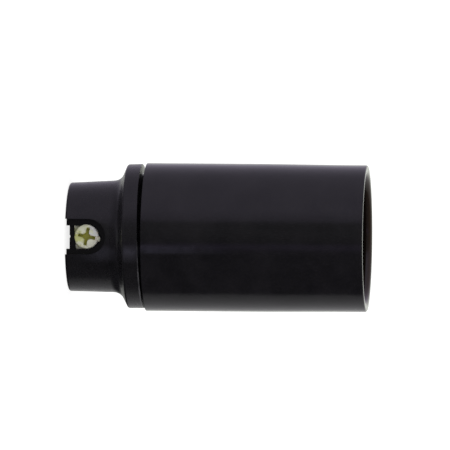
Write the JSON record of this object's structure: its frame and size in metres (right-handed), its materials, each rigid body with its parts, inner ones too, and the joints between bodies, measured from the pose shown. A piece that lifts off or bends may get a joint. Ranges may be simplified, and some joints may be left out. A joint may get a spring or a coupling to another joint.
{
  "type": "cord lamp holder",
  "caption": "Black moulded cord lamp holder for a small Edison screw lamp, with a long sleeve, a necked cap and a screw-down cord grip.",
  "frame": {"origin": "centre of the neck's end face, on which the holder stands", "axes": "+Z along the holder's axis towards the lamp's mouth; the cord grip's screw faces -Y"},
  "size_m": [0.0286, 0.0286, 0.0576],
  "materials": {
    "phenolic": "semi-gloss black phenolic moulding",
    "steatite": "unglazed pale steatite",
    "plated_steel": "zinc plated, pale yellow passivation",
    "nickel_brass": "drawn brass, nickel plated, satin",
    "brass": "rolled brass, slightly dulled",
    "bronze": "phosphor bronze spring strip",
    "fibre": "dark insulating moulding"
  },
  "bodies": {
    "cap_body": {"cap": "phenolic", "contact_block": "steatite", "centre_contact": "bronze", "side_contact": "bronze", "centre_rivet": "brass", "side_rivet": "brass", "centre_terminal": "brass", "side_terminal": "brass", "grip_nut": "plated_steel"},
    "shell_carrier": {"screw_shell": "nickel_brass"},
    "sleeve_body": {"sleeve": "phenolic"},
    "grip_saddle": {"grip_pad": "fibre"},
    "grip_driver": {"grip_screw": "plated_steel"},
    "side_clamp": {"side_washer": "plated_steel"},
    "side_screw": {"side_terminal_screw": "plated_steel"},
    "centre_clamp": {"centre_washer": "plated_steel"},
    "centre_screw": {"centre_terminal_screw": "plated_steel"}
  },
  "joints": [
    {"name": "sleeve_lift", "type": "slide", "parent": "cap_body", "child": "shell_carrier", "axis": [0, 0, 1], "range_m": [0, 0.00675]},
    {"name": "sleeve_turn", "type": "hinge", "parent": "shell_carrier", "child": "sleeve_body", "pos_m": [0, 0, 0.03], "axis": [0, 0, 1], "range_deg": [0, 1620]},
    {"name": "grip_press", "type": "slide", "parent": "cap_body", "child": "grip_saddle", "axis": [0, 1, 0], "range_m": [-0.0012, 0.0008]},
    {"name": "grip_screw_turn", "type": "hinge", "parent": "grip_saddle", "child": "grip_driver", "pos_m": [0, -0.007, 0.004], "axis": [0, 1, 0], "range_deg": [-960.5, 640.5]},
    {"name": "side_clamp_slide", "type": "slide", "parent": "cap_body", "child": "side_clamp", "axis": [0, 0, -1], "range_m": [0, 0.002]},
    {"name": "side_screw_turn", "type": "hinge", "parent": "side_clamp", "child": "side_screw", "pos_m": [0.0053, -0.0047, 0.0165], "axis": [0, 0, -1], "range_deg": [-0.5, 1440.5]},
    {"name": "centre_clamp_slide", "type": "slide", "parent": "cap_body", "child": "centre_clamp", "axis": [0, 0, -1], "range_m": [0, 0.002]},
    {"name": "centre_screw_turn", "type": "hinge", "parent": "centre_clamp", "child": "centre_screw", "pos_m": [-0.0053, 0.0047, 0.0165], "axis": [0, 0, -1], "range_deg": [-0.5, 1440.5]}
  ],
  "couplings": [
    {"joint": "sleeve_lift", "follows": "sleeve_turn", "m_per_rad": 0.00023873},
    {"joint": "grip_screw_turn", "follows": "grip_press", "rad_per_m": 13963},
    {"joint": "side_screw_turn", "follows": "side_clamp_slide", "rad_per_m": 12566},
    {"joint": "centre_screw_turn", "follows": "centre_clamp_slide", "rad_per_m": 12566}
  ]
}
